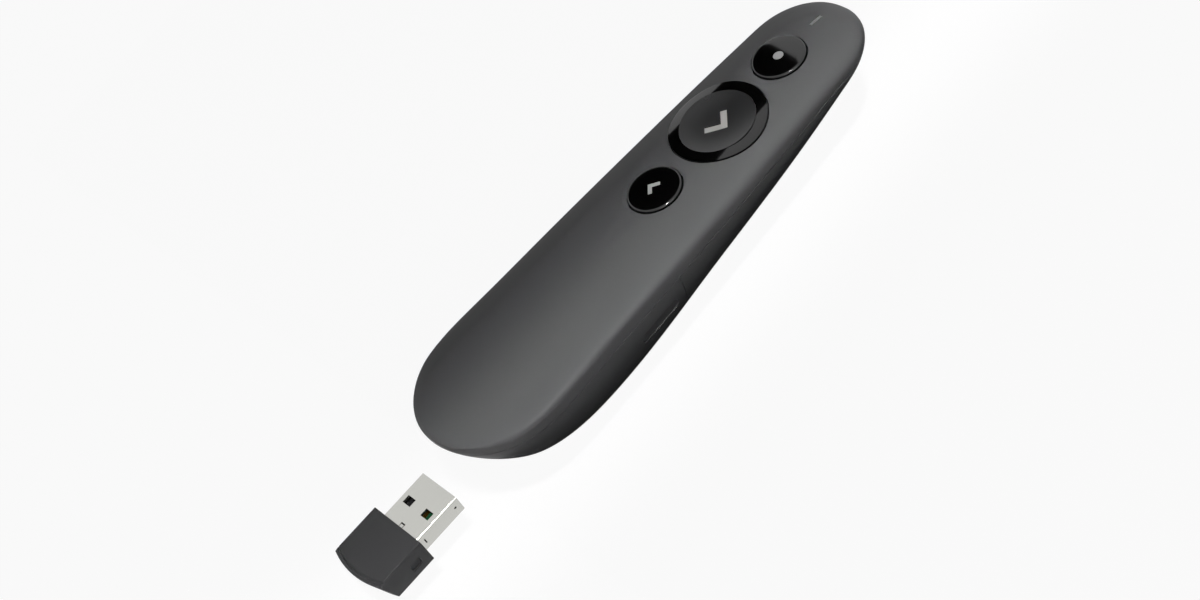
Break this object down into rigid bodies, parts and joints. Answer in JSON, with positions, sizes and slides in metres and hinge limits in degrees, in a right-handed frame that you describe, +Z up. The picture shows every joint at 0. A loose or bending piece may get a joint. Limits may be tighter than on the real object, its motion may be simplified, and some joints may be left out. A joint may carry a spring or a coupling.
{
  "type": "presentation clicker",
  "caption": "Handheld wireless presentation clicker with push buttons, a sliding battery door and a plug-in receiver that slides into a dock in its end.",
  "frame": {"origin": "on the small flat of the belly, on the middle plane", "axes": "+Y along the body towards the laser end, +Z up through the button face, +X across to the right"},
  "size_m": [0.0374, 0.1641, 0.0264],
  "materials": {
    "body_plastic": "fine matte, dark grey",
    "dish_plastic": "satin, near black",
    "gloss_black": "high gloss",
    "mark_grey": "printed grey, plain",
    "lamp_window": "translucent",
    "frame_plastic": "moulded ABS",
    "circuit_board": "solder mask over fibreglass",
    "switch_plastic": "moulded nylon",
    "plunger_plastic": "moulded nylon",
    "chip_epoxy": "moulded epoxy",
    "ceramic_part": "fired ceramic",
    "steel": "bright nickel-plated",
    "plug_steel": "nickel-plated, stamped",
    "jacket_film": "shrink film, plain",
    "brass": "turned",
    "gold_contact": "gold-plated",
    "lens_glass": "polished",
    "receiver_plastic": "fine matte, near black"
  },
  "bodies": {
    "remote": {"upper_housing": "body_plastic", "lower_housing": "body_plastic", "laser_window": "gloss_black", "indicator_light_pipe": "lamp_window", "indicator_lamp": "lamp_window", "battery_cradle": "frame_plastic", "main_circuit_board": "circuit_board", "back_switch_body": "switch_plastic", "next_switch_body": "switch_plastic", "laser_switch_body": "switch_plastic", "radio_chip": "chip_epoxy", "boost_inductor": "chip_epoxy", "board_capacitors": "ceramic_part", "chip_antenna": "ceramic_part", "battery_positive_cap": "steel", "battery_can": "steel", "positive_contact": "steel", "negative_contact": "steel", "board_screws": "steel", "cover_screws": "steel", "clock_crystal": "steel", "laser_diode": "steel", "battery_jacket": "jacket_film", "laser_barrel": "brass", "laser_lens": "lens_glass"},
    "battery_door": {"battery_door": "body_plastic", "receiver_clip": "steel"},
    "receiver": {"receiver_carrier": "frame_plastic", "receiver_circuit_board": "circuit_board", "receiver_chip": "chip_epoxy", "receiver_crystal": "steel", "receiver_plug_shell": "plug_steel", "receiver_contacts": "gold_contact", "receiver_housing": "receiver_plastic", "receiver_tongue": "receiver_plastic"},
    "next_button": {"next_button_ring": "gloss_black", "next_button_dish": "dish_plastic", "next_button_mark": "mark_grey", "next_switch_plunger": "plunger_plastic"},
    "back_button": {"back_button_cap": "gloss_black", "back_button_mark": "mark_grey", "back_switch_plunger": "plunger_plastic"},
    "laser_button": {"laser_button_cap": "gloss_black", "laser_button_mark": "mark_grey", "laser_switch_plunger": "plunger_plastic"}
  },
  "joints": [
    {"name": "door_slide", "type": "slide", "parent": "remote", "child": "battery_door", "axis": [0, -1, 0], "range_m": [0, 0.022]},
    {"name": "receiver_slide", "type": "slide", "parent": "battery_door", "child": "receiver", "axis": [0, 1, 0], "range_m": [0, 0.0394]},
    {"name": "next_press", "type": "slide", "parent": "remote", "child": "next_button", "axis": [0, 0, -1], "range_m": [0, 0.0005], "stiffness_N_per_m": 500, "springref_m": -0.0015},
    {"name": "back_press", "type": "slide", "parent": "remote", "child": "back_button", "axis": [0, 0, -1], "range_m": [0, 0.0005], "stiffness_N_per_m": 500, "springref_m": -0.0015},
    {"name": "laser_press", "type": "slide", "parent": "remote", "child": "laser_button", "axis": [0, 0, -1], "range_m": [0, 0.0005], "stiffness_N_per_m": 500, "springref_m": -0.0015}
  ]
}
